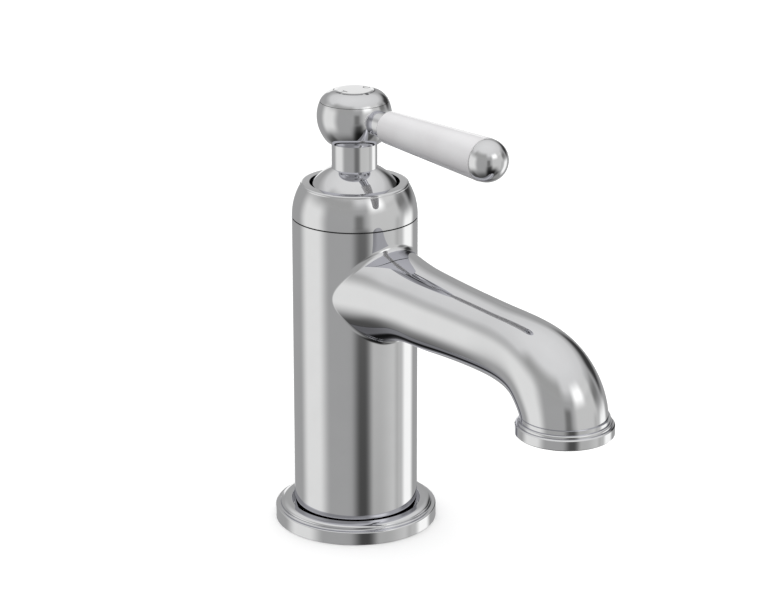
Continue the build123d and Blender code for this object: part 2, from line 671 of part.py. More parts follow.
def ceramic_lever():
    """White glazed grip, wider towards its end, with softly rounded rims."""
    rim = 0.4
    soft = math.sqrt(0.5)
    slope = (END_R - ROOT_R) / (END_Y - ROOT_Y)
    root_top = ROOT_R + slope * ROOT_ROUND
    end_top = END_R - slope * rim
    outline = Wire([
        Line(along(LEVER_BORE_R, ROOT_Y), along(ROOT_R - ROOT_ROUND, ROOT_Y)),
        ThreePointArc(
            along(ROOT_R - ROOT_ROUND, ROOT_Y),
            along(root_top - ROOT_ROUND * (1 - soft), ROOT_Y + ROOT_ROUND * (1 - soft)),
            along(root_top, ROOT_Y + ROOT_ROUND),
        ),
        Line(along(root_top, ROOT_Y + ROOT_ROUND), along(end_top, END_Y - rim)),
        ThreePointArc(
            along(end_top, END_Y - rim),
            along(end_top - rim * (1 - soft), END_Y - rim * (1 - soft)),
            along(end_top - rim, END_Y),
        ),
        Line(along(end_top - rim, END_Y), along(LEVER_BORE_R, END_Y)),
        Line(along(LEVER_BORE_R, END_Y), along(LEVER_BORE_R, ROOT_Y)),
    ])
    return revolve(make_face(outline), lever_axis())


def cap_washer():
    return rod(CAP_WASHER_R, END_Y, END_Y + WASHER_T, BALL_Z) - rod(
        LEVER_BORE_R, END_Y - 1, END_Y + 1, BALL_Z
    )


def lever_end_cap():
    """Domed chrome cap, screwed on the tie rod."""
    start = END_Y + WASHER_T
    centre = start + END_CAP_BAND
    cap = rod(END_CAP_R, start, centre, BALL_Z)
    dome = Pos(0, -centre, BALL_Z) * Sphere(END_CAP_R)
    behind = Pos(0, -centre + END_CAP_R, BALL_Z) * Box(4 * END_CAP_R, 2 * END_CAP_R, 4 * END_CAP_R)
    cap += dome - behind
    return cap - rod(ROD_R, start - 1, start + ROD_INTO_CAP, BALL_Z)


# ---- aerator ----

def aerator_ring():
    """Chrome outlet ring with an M24 shank that screws up into the spout."""
    y = -SPOUT_REACH
    body = disc(AER_R, AER_BOTTOM_Z, OUTLET_FACE_Z, 0, y)
    body = chamfer(body.edges(), AER_EDGE)
    body += disc(AER_THREAD_R, AER_BOTTOM_Z + 1, THREAD_TOP_Z - AER_GASKET_H, 0, y)
    body -= disc(AER_BORE_R, AER_BOTTOM_Z + AER_MOUTH_H, THREAD_TOP_Z, 0, y)
    return body - disc(AER_MOUTH_R, AER_BOTTOM_Z - 1, THREAD_TOP_Z, 0, y)


def aerator_gasket():
    top = THREAD_TOP_Z
    return ring(AER_THREAD_R - 0.1, AER_THREAD_R - 2.6, top - AER_GASKET_H, top, 0, -SPOUT_REACH)


def aerator_insert():
    """Plastic cage that holds the screens and the flow regulator."""
    y = -SPOUT_REACH
    bottom = AER_BOTTOM_Z + AER_MOUTH_H
    cage = ring(AER_BORE_R - INSERT_FIT, SCREEN_R + INSERT_FIT, bottom, bottom + INSERT_H, 0, y)
    for angle in (0, 60, 120):
        spoke = Pos(0, y, bottom + 2.0) * Rot(0, 0, angle) * Box(2 * SCREEN_R + 1, 0.8, 1.2)
        cage += spoke
    hub = disc(2.0, bottom + 1.4, bottom + 2.6, 0, y)
    return cage + hub


def aerator_screens():
    """Two woven screens, drawn as plates pierced on a square grid."""
    count = int(SCREEN_R / SCREEN_PITCH)
    plates = []
    y = -SPOUT_REACH
    bottom = AER_BOTTOM_Z + AER_MOUTH_H
    cutters = []
    for row in range(-count, count + 1):
        for column in range(-count, count + 1):
            across = row * SCREEN_PITCH
            along_y = column * SCREEN_PITCH
            if math.hypot(across, along_y) < SCREEN_R - SCREEN_PITCH * 0.7:
                cutters.append(Pos(across, along_y) * Rectangle(SCREEN_PITCH * 0.72, SCREEN_PITCH * 0.72))
    mesh = Circle(SCREEN_R) - cutters
    for level in (0.2, 3.4):
        plates.append(Pos(0, y, bottom + level) * extrude(mesh, SCREEN_T))
    return Compound([solid for plate in plates for solid in plate.solids()])


def flow_regulator():
    """Slotted plastic disc on top of the screens."""
    y = -SPOUT_REACH
    bottom = AER_BOTTOM_Z + AER_MOUTH_H + INSERT_H
    plate = disc(AER_BORE_R - INSERT_FIT, bottom, bottom + REGULATOR_H, 0, y)
    holes = 10
    for index in range(holes):
        angle = math.radians(360 / holes * index)
        hole_x = REGULATOR_R * math.cos(angle)
        hole_y = y + REGULATOR_R * math.sin(angle)
        plate -= disc(1.3, bottom - 1, bottom + REGULATOR_H + 1, hole_x, hole_y)
    return plate


PIECES = [
    base_flange, base_gasket, body_casting,
    cartridge_base, port_seals, fixed_disc, cartridge_housing, cartridge_nut,
    collar, collar_seal,
    rotor, pivot_pin, moving_disc, disc_carrier, spindle,
    dome_shroud, neck_sleeve, handle_ball, grub_screw, index_cap, index_marks,
    lever_boss, lever_rod, root_washer, ceramic_lever, cap_washer, lever_end_cap,
    aerator_ring, aerator_gasket, aerator_insert, aerator_screens, flow_regulator,
]

os.makedirs("parts", exist_ok=True)
for piece in PIECES:
    save(piece.__name__, piece())
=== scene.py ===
import json
import math

import bpy
import numpy as np
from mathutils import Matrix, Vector
from mathutils.geometry import tessellate_polygon


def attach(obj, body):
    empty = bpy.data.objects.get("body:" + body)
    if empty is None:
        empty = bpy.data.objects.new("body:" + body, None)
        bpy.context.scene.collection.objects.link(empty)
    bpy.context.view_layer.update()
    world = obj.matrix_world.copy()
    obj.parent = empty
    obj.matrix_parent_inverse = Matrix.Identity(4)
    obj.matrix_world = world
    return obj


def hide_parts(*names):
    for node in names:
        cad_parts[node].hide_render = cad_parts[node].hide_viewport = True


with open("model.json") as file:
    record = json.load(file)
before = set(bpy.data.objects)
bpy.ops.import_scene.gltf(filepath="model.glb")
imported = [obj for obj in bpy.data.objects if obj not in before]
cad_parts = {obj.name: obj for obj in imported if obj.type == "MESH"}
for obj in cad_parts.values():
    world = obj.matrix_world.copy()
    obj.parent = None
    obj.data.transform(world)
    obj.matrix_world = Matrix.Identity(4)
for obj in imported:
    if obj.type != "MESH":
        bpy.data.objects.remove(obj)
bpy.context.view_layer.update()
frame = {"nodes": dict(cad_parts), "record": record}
NODES = frame["nodes"]

# ---- view, in metres and degrees ----
CAMERA_AZIMUTH = -38.0       # 0 looks at the spout's end, negative comes round towards the hot side
CAMERA_ELEVATION = 18.86
CAMERA_DISTANCE = 1.01409
CAMERA_AIM = Vector((0.00985, -0.00769, 0.08651))
LENS_MM = 127.53
SENSOR_MM = 36.0
LIGHT_ABOVE = 1.35           # light on matt surfaces, from above and from below
LIGHT_BELOW = 0.3
SEEN_TWICE = (0.64, 0.64, 0.69)   # how much of the room one mirror shows in another


# ---- node helpers ----

def new_material(name):
    material = bpy.data.materials.new(name)
    material.use_nodes = True
    tree = material.node_tree
    return material, tree, tree.nodes["Principled BSDF"]


def add(tree, kind, **values):
    node = tree.nodes.new(kind)
    for key, value in values.items():
        setattr(node, key, value)
    return node


def noise(tree, scale, detail=4.0, roughness=0.55, stretch=(1, 1, 1)):
    """Noise in the object's own metres; scale is features per metre."""
    place = add(tree, "ShaderNodeTexCoord")
    mapping = add(tree, "ShaderNodeMapping")
    mapping.inputs["Scale"].default_value = stretch
    texture = add(tree, "ShaderNodeTexNoise")
    texture.inputs["Scale"].default_value = scale
    texture.inputs["Detail"].default_value = detail
    texture.inputs["Roughness"].default_value = roughness
    tree.links.new(place.outputs["Object"], mapping.inputs["Vector"])
    tree.links.new(mapping.outputs["Vector"], texture.inputs["Vector"])
    return texture.outputs["Fac"]


def ramp(tree, factor, low, high, start=0.3, end=0.7):
    """Value from low to high as the factor goes from start to end."""
    node = add(tree, "ShaderNodeMapRange", interpolation_type="SMOOTHSTEP")
    for socket, value in zip(("From Min", "From Max", "To Min", "To Max"), (start, end, low, high)):
        node.inputs[socket].default_value = value
    tree.links.new(factor, node.inputs["Value"])
    return node.outputs["Result"]


def mix(tree, factor, first, second):
    node = add(tree, "ShaderNodeMix", data_type="RGBA")
    node.inputs[6].default_value = (*first, 1)
    node.inputs[7].default_value = (*second, 1)
    tree.links.new(factor, node.inputs[0])
    return node.outputs[2]


def bump(tree, shader, height, strength, distance):
    node = add(tree, "ShaderNodeBump")
    node.inputs["Strength"].default_value = strength
    node.inputs["Distance"].default_value = distance
    tree.links.new(height, node.inputs["Height"])
    tree.links.new(node.outputs["Normal"], shader.inputs["Normal"])


# ---- materials ----

def chrome():
    """Bright chrome plate: faint haze in patches and dried water marks."""
    material, tree, shader = new_material("chrome_plate")
    shader.inputs["Metallic"].default_value = 1.0
    haze = noise(tree, 90.0)
    marks = noise(tree, 900.0, detail=2.0)
    tint = mix(tree, ramp(tree, haze, 0.0, 1.0), (0.925, 0.928, 0.928), (0.945, 0.948, 0.948))
    tree.links.new(tint, shader.inputs["Base Color"])
    both = add(tree, "ShaderNodeMath", operation="ADD")
    tree.links.new(ramp(tree, haze, 0.012, 0.028), both.inputs[0])
    tree.links.new(ramp(tree, marks, 0.0, 0.015, 0.62, 0.7), both.inputs[1])
    tree.links.new(both.outputs[0], shader.inputs["Roughness"])
    return material


def glaze():
    """White vitreous glaze: soft pooling of the colour, shallow waves and pin-head dull specks."""
    material, tree, shader = new_material("white_glaze")
    pooling = noise(tree, 70.0)
    specks = noise(tree, 2600.0, detail=1.0)
    white = mix(tree, ramp(tree, pooling, 0.0, 1.0), (0.665, 0.655, 0.665), (0.705, 0.7, 0.71))
    tree.links.new(white, shader.inputs["Base Color"])
    tree.links.new(ramp(tree, specks, 0.08, 0.16, 0.7, 0.78), shader.inputs["Roughness"])
    shader.inputs["Coat Weight"].default_value = 0.6
    shader.inputs["Coat Roughness"].default_value = 0.03
    bump(tree, shader, noise(tree, 160.0, detail=1.0), 0.05, 0.0004)
    return material


def rubber():
    material, tree, shader = new_material("black_rubber")
    grain = noise(tree, 1800.0)
    black = mix(tree, grain, (0.012, 0.012, 0.013), (0.035, 0.035, 0.036))
    tree.links.new(black, shader.inputs["Base Color"])
    tree.links.new(ramp(tree, grain, 0.55, 0.8), shader.inputs["Roughness"])
    bump(tree, shader, grain, 0.25, 0.0001)
    return material


def plastic(name, dark, light):
    material, tree, shader = new_material(name)
    flow = noise(tree, 220.0)
    spark = noise(tree, 5200.0, detail=2.0)
    tree.links.new(mix(tree, flow, dark, light), shader.inputs["Base Color"])
    tree.links.new(ramp(tree, spark, 0.38, 0.52), shader.inputs["Roughness"])
    bump(tree, shader, spark, 0.15, 0.00005)
    return material


def turned_metal(name, dark, light, rough):
    """Machined metal with tool rings round the object's upright axis."""
    material, tree, shader = new_material(name)
    shader.inputs["Metallic"].default_value = 1.0
    rings = noise(tree, 60.0, detail=6.0, stretch=(1, 1, 60))
    tree.links.new(mix(tree, noise(tree, 140.0), dark, light), shader.inputs["Base Color"])
    tree.links.new(ramp(tree, rings, rough, rough + 0.15), shader.inputs["Roughness"])
    bump(tree, shader, rings, 0.12, 0.00004)
    return material


def enamel():
    material, tree, shader = new_material("mark_enamel")
    wear = noise(tree, 3000.0)
    tree.links.new(mix(tree, wear, (0.02, 0.02, 0.022), (0.06, 0.06, 0.065)), shader.inputs["Base Color"])
    tree.links.new(ramp(tree, wear, 0.2, 0.4), shader.inputs["Roughness"])
    return material


def dress():
    """Gives every CAD node the material of its slot."""
    by_slot = {
        "chrome": chrome(),
        "white_ceramic": glaze(),
        "black_rubber": rubber(),
        "grey_plastic": plastic("grey_plastic", (0.14, 0.145, 0.15), (0.18, 0.185, 0.19)),
        "white_plastic": plastic("white_plastic", (0.66, 0.66, 0.63), (0.74, 0.74, 0.72)),
        "disc_ceramic": plastic("lapped_ceramic", (0.74, 0.72, 0.66), (0.8, 0.78, 0.73)),
        "brass": turned_metal("brass", (0.56, 0.38, 0.14), (0.68, 0.5, 0.22), 0.22),
        "steel": turned_metal("stainless", (0.45, 0.45, 0.46), (0.6, 0.6, 0.6), 0.25),
        "mark_enamel": enamel(),
    }
    for row in frame["record"]["subparts"]:
        mesh = NODES[row["node"]].data
        mesh.materials.clear()
        mesh.materials.append(by_slot[row["material_slot"]])
    return by_slot


# ---- sizes in millimetres, the same as the part's ----
MM = 0.001
BODY_R = 23.0
SEAM_Z = 117.6
COLLAR_SEAM_GAP = 0.5
FLANGE_R = 30.1
FLANGE_BORE_R = 23.1
FLANGE_WALL_H = 4.9
FLANGE_EDGE = 0.5
FLANGE_H = 6.9
FLANGE_STEP_R = 28.2
FLANGE_STEP_Z = 5.7
FLANGE_COVE = 0.5
FLANGE_CROWN_R = 26.0
FLANGE_LIP_R = 24.3
FLANGE_LIP = 0.3
FLANGE_GROOVE_Z = 4.5
GASKET_IN_R = 25.0
GASKET_OUT_R = 28.0
GASKET_H = 2.2
# holes in the foot: x, y, radius of the thread's crests, threaded depth, radius of the bore beyond or 0
THREADS = [(-7.0, -3.5, 4.46, 12.0, 3.4), (7.0, -3.5, 4.46, 12.0, 3.4), (0.0, 9.8, 3.32, 11.0, 0.0)]
INLET_BORE_L = 30.0
THREAD_PITCH = 1.0
THREAD_D = 0.5
SEAT_R = 17.5
SEAT_Z = 86.0
NUT_R = 19.05
SHOULDER_Z = 107.8
SPIGOT_R = 21.45
SPIGOT_Z = 113.6
PIVOT_Z = 118.8
DOME_R = 19.2
DOME_WALL = 1.6
DOME_RIM_Z = 122.6
NECK_SPIGOT_R = 7.25
BOWL_R = 20.2
COLLAR_TOP_Z = 130.5
COLLAR_ARC_R = 22.5
COLLAR_EDGE_R = 0.9
COLLAR_SPIGOT_IN_R = 20.1
COLLAR_SPIGOT_OUT_R = 21.4
NECK_R = 8.3
NECK_BORE_R = 6.55
BALL_R = 13.65
BALL_Z = 155.2
BALL_FOOT_Z = 145.7
BALL_SEAM_Z = 160.68
BALL_EDGE = 0.4
BALL_EDGE_TURN = 2.2         # degrees of the ball that the foot's bevel takes
BALL_POCKET_R = 9.45
BALL_POCKET_Z = 158.2
SCREW_R = 2.5
SCREW_Z = 150.2
BOSS_R = 4.5
ROD_R = 2.4
ROOT_Y = 20.0
ROOT_R = 5.9
END_Y = 73.4
END_R = 7.75
WASHER_T = 0.5
END_CAP_R = 7.6
END_CAP_BAND = 0.25
ROD_INTO_CAP = 4.5
LEVER_BORE_R = 2.8
ROOT_ROUND = 1.1
CERAMIC_RIM = 0.4
SPOUT_REACH = 116.8
# spout's centreline and section: distance out, height, half width, half height, degrees below level
STATIONS = [
    (0.0, 92.2, 22.6, 20.6, 0.0), (12.2, 92.6, 19.5, 18.8, 0.0), (23.0, 93.1, 16.7, 17.1, 0.0),
    (34.0, 93.45, 14.8, 14.8, 0.0), (46.0, 93.1, 14.0, 14.0, 0.0), (58.0, 93.0, 13.35, 13.35, 0.0),
    (71.0, 92.9, 12.85, 12.85, 0.0), (84.0, 92.55, 12.75, 12.75, 0.0), (95.6, 91.55, 13.3, 13.3, 9.5),
    (104.7, 89.0, 14.15, 14.15, 25.0), (111.8, 83.85, 14.85, 14.85, 48.5),
    (116.0, 76.8, 15.0, 15.0, 71.0), (116.8, 70.2, 15.0, 15.0, 90.0),
]
SPOUT_FILLET = 2.5
OUTLET_NECK_R = 15.4
OUTLET_NECK_Z = 75.5
OUTLET_BEAD_R = 16.2
OUTLET_BEAD_Z = 74.0
OUTLET_FACE_Z = 72.9
OUTLET_BORE_R = 12.0
OUTLET_BORE_Z = 78.9
AER_R = 17.0
AER_BOTTOM_Z = 69.0
AER_SHANK_R = 11.9
AER_SHANK_Z = 77.4
AER_BORE_R = 10.6
AER_MOUTH_R = 9.6
AER_MOUTH_Z = 70.4
AER_EDGE = 0.4


# ---- geometry kit ----

ARC_STEP = 3.0               # degrees of an arc to one straight edge


class Skin:
    """Mesh in the making: corners in one place share a vertex, and each corner keeps its exact normal."""

    def __init__(self):
        self.places = {}
        self.points = []
        self.faces = []
        self.normals = []

    def vertex(self, point):
        key = tuple(round(float(value), 4) for value in point)
        if key not in self.places:
            self.places[key] = len(self.points)
            self.points.append([float(value) * MM for value in point])
        return self.places[key]

    def face(self, corners):
        kept = {}
        for point, normal in corners:
            kept.setdefault(self.vertex(point), (point, normal))
        if len(kept) < 3:
            return
        loop = list(kept)
        places = [Vector(kept[index][0]) for index in loop]
        across = (places[1] - places[0]).cross(places[-1] - places[0])
        across += (places[2] - places[1]).cross(places[0] - places[1])
        facing = sum((Vector(kept[index][1]) for index in loop), Vector())
        if across.dot(facing) < 0:
            loop.reverse()
        self.faces.append(loop)
        self.normals.extend(tuple(float(value) for value in kept[index][1]) for index in loop)

    def grid(self, points, normals, closed=True):
        """Quads over rows of points; closed joins each row's last point to its first."""
        rows, columns = points.shape[:2]
        for row in range(rows - 1):
            for column in range(columns if closed else columns - 1):
                after = (column + 1) % columns
                self.face([
                    (points[r, c], normals[r, c])
                    for r, c in ((row, column), (row, after), (row + 1, after), (row + 1, column))
                ])

    def lathe(self, runs, turns, place):
        """Turns each run of an outline; place(radius, height, angles) gives points or directions."""
        for run in runs:
            points = np.stack([place(r, h, turns, True) for r, h, _, _ in run])
            normals = np.stack([place(nr, nh, turns, False) for _, _, nr, nh in run])
            self.grid(points, normals)

    def build(self, name, nodes, body, finish):
        mesh = bpy.data.meshes.new(name)
        mesh.from_pydata(self.points, [], self.faces)
        mesh.polygons.foreach_set("use_smooth", [True] * len(self.faces))
        mesh.normals_split_custom_set(self.normals)
        return enter(name, mesh, nodes, body, finish)


def enter(name, mesh, nodes, body, finish):
    """Puts a new piece in the scene in place of its CAD nodes."""
    obj = bpy.data.objects.new(name, mesh)
    bpy.context.scene.collection.objects.link(obj)
    mesh.materials.clear()
    mesh.materials.append(MATERIALS[finish])
    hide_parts(*nodes)
    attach(obj, body)
    return obj


def straight(*corners):
    """Runs of straight outline. Outlines go anticlockwise with radius to the right, height up."""
    runs = []
    for (r0, h0), (r1, h1) in zip(corners, corners[1:]):
        length = math.hypot(r1 - r0, h1 - h0)
        normal = ((h1 - h0) / length, (r0 - r1) / length)
        runs.append([(r0, h0, *normal), (r1, h1, *normal)])
    return runs


def curve(r, h, radius, start, end):
    """One run round a centre, in degrees; a run that turns clockwise is hollow."""
    steps = max(4, int(abs(end - start) / ARC_STEP))
    side = 1 if end > start else -1
    run = []
    for step in range(steps + 1):
        angle = math.radians(start + (end - start) * step / steps)
        run.append((
            r + radius * math.cos(angle), h + radius * math.sin(angle),
            side * math.cos(angle), side * math.sin(angle),
        ))
    return [run]


def upright(x=0.0, y=0.0):
    """Lathe about a vertical axis. Angles are taken from -Y towards +X."""
    def place(r, h, turns, is_point):
        move = (x, y) if is_point else (0.0, 0.0)
        return np.stack([
            move[0] + r * np.sin(turns), move[1] - r * np.cos(turns), np.full(len(turns), h),
        ], axis=1)
    return place


def level(r, h, turns, is_point):
    """Lathe about the lever's axis. Height is the distance out along -Y."""
    lift = BALL_Z if is_point else 0.0
    return np.stack([r * np.sin(turns), np.full(len(turns), -h), lift + r * np.cos(turns)], axis=1)


def full_turn(count):
    return np.linspace(0, 2 * math.pi, count, endpoint=False)


def turned_piece(name, runs, body, finish="chrome", place=None, count=240):
    skin = Skin()
    skin.lathe(runs, full_turn(count), place or upright())
    return skin.build(name + "_skin", [name], body, finish)


# ---- turned pieces ----

def base_flange():
    """Upright wall, a ledge, a rounded crown and a shadow groove next to the column."""
    shoulder_z = FLANGE_WALL_H - FLANGE_EDGE
    groove_r = FLANGE_LIP_R - FLANGE_LIP
    cove_r = FLANGE_STEP_R + FLANGE_COVE
    cove_z = FLANGE_WALL_H + FLANGE_COVE
    crown = []
    width = FLANGE_STEP_R - FLANGE_CROWN_R
    height = FLANGE_H - FLANGE_STEP_Z
    steps = 24
    for step in range(steps + 1):
        angle = math.radians(90 * step / steps)
        lean = Vector((math.cos(angle) / width, math.sin(angle) / height)).normalized()
        r = FLANGE_CROWN_R + width * math.cos(angle)
        crown.append((r, FLANGE_STEP_Z + height * math.sin(angle), lean.x, lean.y))
    runs = straight(
        (FLANGE_BORE_R, 0), (GASKET_IN_R, 0), (GASKET_IN_R, GASKET_H), (GASKET_OUT_R, GASKET_H),
        (GASKET_OUT_R, 0), (FLANGE_R, 0), (FLANGE_R, shoulder_z),
    )
    runs += curve(FLANGE_R - FLANGE_EDGE, shoulder_z, FLANGE_EDGE, 0, 90)
    runs += straight((FLANGE_R - FLANGE_EDGE, FLANGE_WALL_H), (cove_r, FLANGE_WALL_H))
    runs += curve(cove_r, cove_z, FLANGE_COVE, 270, 180)
    runs += straight((FLANGE_STEP_R, cove_z), (FLANGE_STEP_R, FLANGE_STEP_Z))
    runs += [crown]
    runs += straight((FLANGE_CROWN_R, FLANGE_H), (FLANGE_LIP_R, FLANGE_H))
    runs += curve(FLANGE_LIP_R, FLANGE_H - FLANGE_LIP, FLANGE_LIP, 90, 180)
    runs += straight(
        (groove_r, FLANGE_H - FLANGE_LIP), (groove_r, FLANGE_GROOVE_Z),
        (FLANGE_BORE_R, FLANGE_GROOVE_Z), (FLANGE_BORE_R, 0),
    )
    turned_piece("base_flange", runs, "faucet_body", count=300)


def collar():
    """Bell outside, hollow ball inside for the dome, and a spigot down into the column."""
    foot_z = SEAM_Z + COLLAR_SEAM_GAP
    drop = COLLAR_TOP_Z - COLLAR_EDGE_R - foot_z
    lean = math.degrees(math.asin(drop / COLLAR_ARC_R))
    top_r = BODY_R - COLLAR_ARC_R + COLLAR_ARC_R * math.cos(math.radians(lean))
    mouth = math.degrees(math.asin((COLLAR_TOP_Z - PIVOT_Z) / BOWL_R))
    inner = -math.degrees(math.acos(COLLAR_SPIGOT_IN_R / BOWL_R))
    inner_z = PIVOT_Z + BOWL_R * math.sin(math.radians(inner))
    runs = straight(
        (COLLAR_SPIGOT_IN_R, SPIGOT_Z), (COLLAR_SPIGOT_OUT_R, SPIGOT_Z), (COLLAR_SPIGOT_OUT_R, foot_z),
        (BODY_R, foot_z),
    )
    runs += curve(BODY_R - COLLAR_ARC_R, foot_z, COLLAR_ARC_R, 0, lean)
    runs += curve(top_r - COLLAR_EDGE_R, COLLAR_TOP_Z - COLLAR_EDGE_R, COLLAR_EDGE_R, 0, 90)
    mouth_r = BOWL_R * math.cos(math.radians(mouth))
    runs += straight((top_r - COLLAR_EDGE_R, COLLAR_TOP_Z), (mouth_r, COLLAR_TOP_Z))
    runs += curve(0, PIVOT_Z, BOWL_R, mouth, inner)
    runs += straight((COLLAR_SPIGOT_IN_R, inner_z), (COLLAR_SPIGOT_IN_R, SPIGOT_Z))
    turned_piece("collar", runs, "faucet_body", count=300)


def dome_shroud():
    inner_r = DOME_R - DOME_WALL
    rim = math.degrees(math.asin((DOME_RIM_Z - PIVOT_Z) / DOME_R))
    rim_in = math.degrees(math.asin((DOME_RIM_Z - PIVOT_Z) / inner_r))
    hole = math.degrees(math.acos(NECK_SPIGOT_R / DOME_R))
    hole_in = math.degrees(math.acos(NECK_SPIGOT_R / inner_r))
    runs = straight(
        (inner_r * math.cos(math.radians(rim_in)), DOME_RIM_Z),
        (DOME_R * math.cos(math.radians(rim)), DOME_RIM_Z),
    )
    runs += curve(0, PIVOT_Z, DOME_R, rim, hole)
    runs += straight(
        (NECK_SPIGOT_R, PIVOT_Z + DOME_R * math.sin(math.radians(hole))),
        (NECK_SPIGOT_R, PIVOT_Z + inner_r * math.sin(math.radians(hole_in))),
    )
    runs += curve(0, PIVOT_Z, inner_r, hole_in, rim_in)
    turned_piece("dome_shroud", runs, "lever_handle")


def neck_sleeve():
    foot = math.degrees(math.acos(NECK_R / DOME_R))
    bore = math.degrees(math.acos(NECK_BORE_R / DOME_R))
    runs = curve(0, PIVOT_Z, DOME_R, bore, foot)
    runs += straight(
        (NECK_R, PIVOT_Z + DOME_R * math.sin(math.radians(foot))), (NECK_R, BALL_FOOT_Z),
        (NECK_BORE_R, BALL_FOOT_Z),
        (NECK_BORE_R, PIVOT_Z + DOME_R * math.sin(math.radians(bore))),
    )
    turned_piece("neck_sleeve", runs, "lever_handle")


def lever_boss():
    seat = math.degrees(math.asin(math.sqrt(BALL_R ** 2 - BOSS_R ** 2) / BALL_R))
    inner = math.degrees(math.acos(ROD_R / BALL_R))
    end = ROOT_Y - WASHER_T
    runs = curve(0, 0, BALL_R, inner, seat)
    runs += straight(
        (BOSS_R, BALL_R * math.sin(math.radians(seat))), (BOSS_R, end), (ROD_R, end),
        (ROD_R, BALL_R * math.sin(math.radians(inner))),
    )
    turned_piece("lever_boss", runs, "lever_handle", place=level, count=160)


def ceramic_lever():
    """Glazed grip: tapered, with a soft root and a small radius at the chrome cap."""
    slope = math.atan((END_R - ROOT_R) / (END_Y - ROOT_Y))
    tilt = math.degrees(slope)
    root_r = ROOT_R + math.tan(slope) * ROOT_ROUND - ROOT_ROUND
    end_r = END_R - math.tan(slope) * CERAMIC_RIM - CERAMIC_RIM
    root = curve(root_r, ROOT_Y + ROOT_ROUND, ROOT_ROUND, -90, -tilt)
    end = curve(end_r, END_Y - CERAMIC_RIM, CERAMIC_RIM, -tilt, 90)
    runs = straight((LEVER_BORE_R, ROOT_Y), (root_r, ROOT_Y))
    runs += root
    runs += straight(root[0][-1][:2], end[0][0][:2])
    runs += end
    runs += straight((end_r, END_Y), (LEVER_BORE_R, END_Y), (LEVER_BORE_R, ROOT_Y))
    turned_piece("ceramic_lever", runs, "lever_handle", "white_ceramic", place=level)


def lever_end_cap():
    start = END_Y + WASHER_T
    centre = start + END_CAP_BAND
    depth = start + ROD_INTO_CAP
    runs = straight((ROD_R, start), (END_CAP_R, start), (END_CAP_R, centre))
    runs += curve(0, centre, END_CAP_R, 0, 90)
    runs += straight((0, depth), (ROD_R, depth), (ROD_R, start))
    turned_piece("lever_end_cap", runs, "lever_handle", place=level)


def aerator_ring():
    runs = straight(
        (AER_MOUTH_R, AER_BOTTOM_Z), (AER_R - AER_EDGE, AER_BOTTOM_Z), (AER_R, AER_BOTTOM_Z + AER_EDGE),
        (AER_R, OUTLET_FACE_Z - AER_EDGE), (AER_R - AER_EDGE, OUTLET_FACE_Z), (AER_SHANK_R, OUTLET_FACE_Z),
        (AER_SHANK_R, AER_SHANK_Z), (AER_BORE_R, AER_SHANK_Z), (AER_BORE_R, AER_MOUTH_Z),
        (AER_MOUTH_R, AER_MOUTH_Z), (AER_MOUTH_R, AER_BOTTOM_Z),
    )
    turned_piece("aerator_ring", runs, "faucet_body", place=upright(0, -SPOUT_REACH))


def handle_ball():
    """Ball with a flat foot and seam, and the grub screw's hole at the back."""
    foot = math.degrees(math.asin((BALL_FOOT_Z - BALL_Z) / BALL_R))
    seam = math.degrees(math.asin((BALL_SEAM_Z - BALL_Z) / BALL_R))
    foot_r = BALL_R * math.cos(math.radians(foot))
    seam_r = BALL_R * math.cos(math.radians(seam))
    start = foot + BALL_EDGE_TURN
    start_r = BALL_R * math.cos(math.radians(start))
    start_z = BALL_Z + BALL_R * math.sin(math.radians(start))
    runs = straight((NECK_BORE_R, BALL_FOOT_Z), (foot_r - BALL_EDGE / 2, BALL_FOOT_Z))
    lean = Vector((math.cos(math.radians(start)), math.sin(math.radians(start))))
    runs += [[(foot_r - BALL_EDGE / 2, BALL_FOOT_Z, 0, -1), (start_r, start_z, lean.x, lean.y)]]
    runs += curve(0, BALL_Z, BALL_R, start, seam)
    runs += straight(
        (seam_r, BALL_SEAM_Z), (BALL_POCKET_R, BALL_SEAM_Z), (BALL_POCKET_R, BALL_POCKET_Z),
        (NECK_BORE_R, BALL_POCKET_Z), (NECK_BORE_R, BALL_FOOT_Z),
    )
    skin = Skin()
    skin.lathe(runs, full_turn(240), upright())
    ball = skin.build("handle_ball_skin", ["handle_ball"], "lever_handle", "chrome")
    drill(ball, SCREW_R, SCREW_Z)


def drill(obj, radius, z):
    """Cuts a round hole from the back towards the axis, and gives the cut mesh exact normals again."""
    sides = 96
    half_side = math.pi / sides   # no corner of the hole lies on a corner of the ball
    length = 20.0
    middle_y = 17.0               # the hole ends in the ball's bore
    bpy.ops.mesh.primitive_cylinder_add(
        vertices=sides, radius=radius * MM, depth=length * MM, location=(0, middle_y * MM, z * MM),
        rotation=(math.pi / 2, half_side, 0),
    )
    tool = bpy.context.object
    cut = obj.modifiers.new("hole", "BOOLEAN")
    cut.operation = "DIFFERENCE"
    cut.solver = "EXACT"
    cut.object = tool
    shaped = bpy.data.meshes.new_from_object(obj.evaluated_get(bpy.context.evaluated_depsgraph_get()))
    obj.modifiers.remove(cut)
    bpy.data.objects.remove(tool)
    centre = Vector((0, 0, BALL_Z * MM))
    same_way = 0.97
    normals = []
    for face in shaped.polygons:
        for index in face.vertices:
            place = shaped.vertices[index].co
            radial = (place - centre).normalized()
            hole = Vector((-place.x, 0, z * MM - place.z)).normalized()
            ring = Vector((-place.x, -place.y, 0)).normalized()
            best = max((radial, hole, ring), key=face.normal.dot)
            normals.append(tuple(best if best.dot(face.normal) > same_way else face.normal))
    shaped.polygons.foreach_set("use_smooth", [True] * len(shaped.polygons))
    shaped.normals_split_custom_set(normals)
    old = obj.data
    obj.data = shaped
    bpy.data.meshes.remove(old)


# ---- body: column, flared spout and outlet in one skin ----

